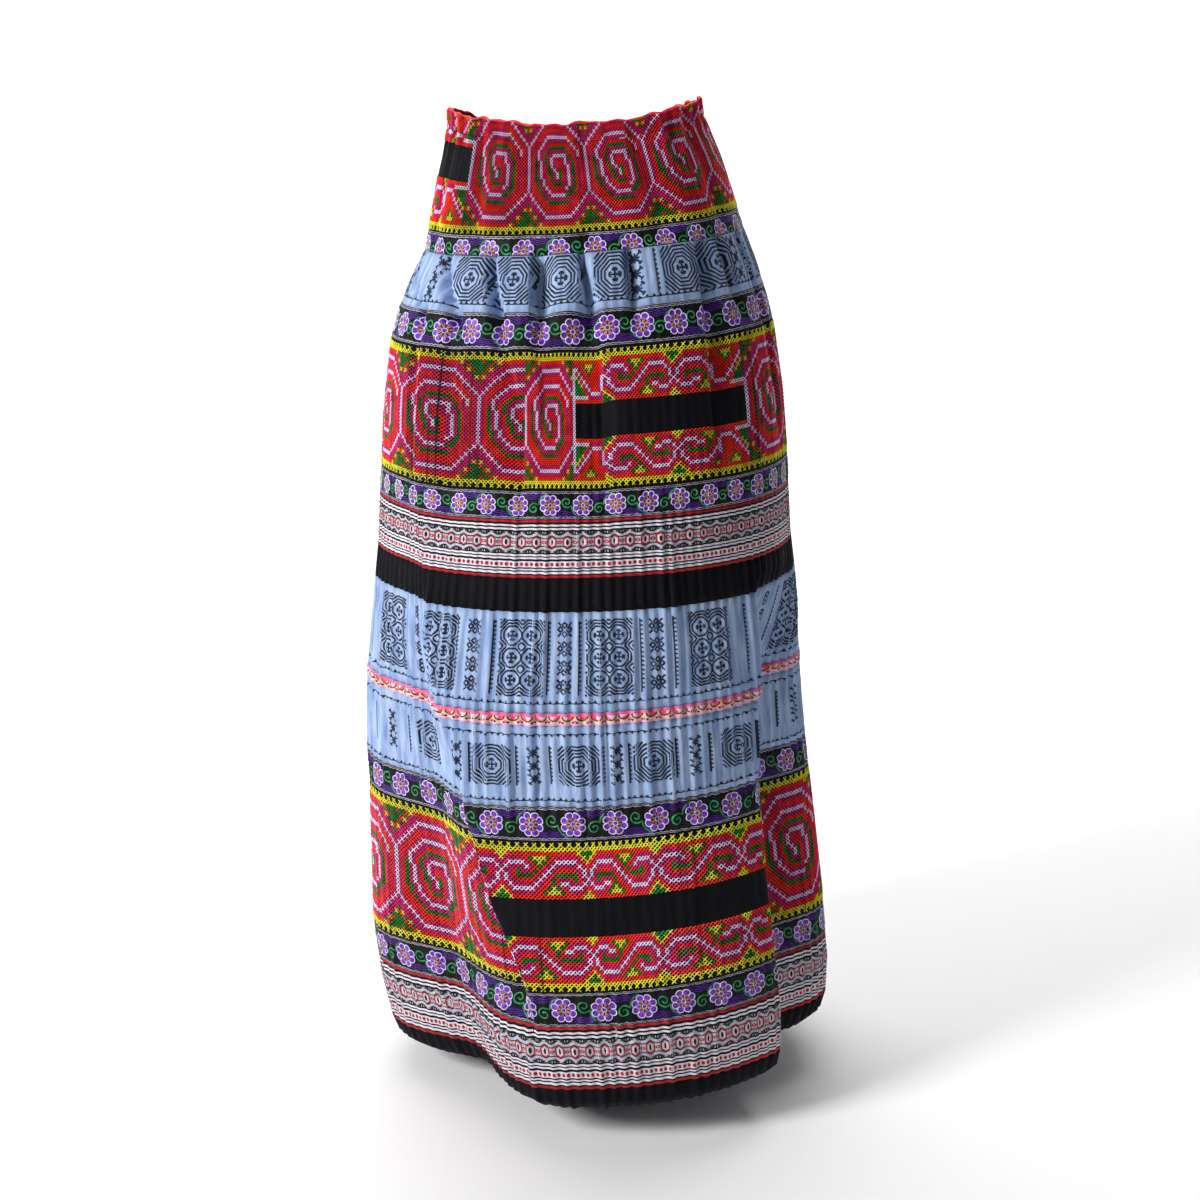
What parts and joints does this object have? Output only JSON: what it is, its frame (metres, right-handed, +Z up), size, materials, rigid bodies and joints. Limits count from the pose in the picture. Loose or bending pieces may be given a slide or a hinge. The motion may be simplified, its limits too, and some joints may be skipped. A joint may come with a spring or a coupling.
{
  "type": "hmong skirt",
  "caption": "Long tiered elastic-waist skirt of pleated, banded cloth, filled out and hollow, open at the waist and hem.",
  "frame": {"origin": "middle of the waist opening, where the wearer holds the skirt up", "axes": "+Z up out of the waist, the front of the skirt towards -Y, +X to the right in a front view"},
  "size_m": [0.49, 0.4106, 1.0136],
  "materials": {
    "stitched_cloth": "cotton cross-stitch on black cloth",
    "flower_ribbon": "machine-embroidered ribbon with a thread sheen",
    "batik_cloth": "matt wax-print cotton",
    "stripe_cloth": "matt woven and printed stripes",
    "black_cloth": "plain pleated cloth with a slight sheen",
    "woven_trim": "narrow woven trim"
  },
  "bodies": {
    "root": {"waist_casing": "stitched_cloth", "yoke_cross_stitch_panel": "stitched_cloth", "yoke_flower_ribbon": "flower_ribbon", "gathered_batik_band": "batik_cloth", "upper_flower_ribbon": "flower_ribbon", "upper_cross_stitch_panel": "stitched_cloth", "middle_flower_ribbon": "flower_ribbon", "upper_stripe_band": "stripe_cloth", "black_band": "black_cloth", "box_motif_batik_band": "batik_cloth", "pink_trim": "woven_trim", "octagon_motif_batik_band": "batik_cloth", "lower_flower_ribbon": "flower_ribbon", "lower_cross_stitch_panel": "stitched_cloth", "bottom_flower_ribbon": "flower_ribbon", "lower_stripe_band": "stripe_cloth", "black_hem_band": "black_cloth"}
  },
  "joints": []
}
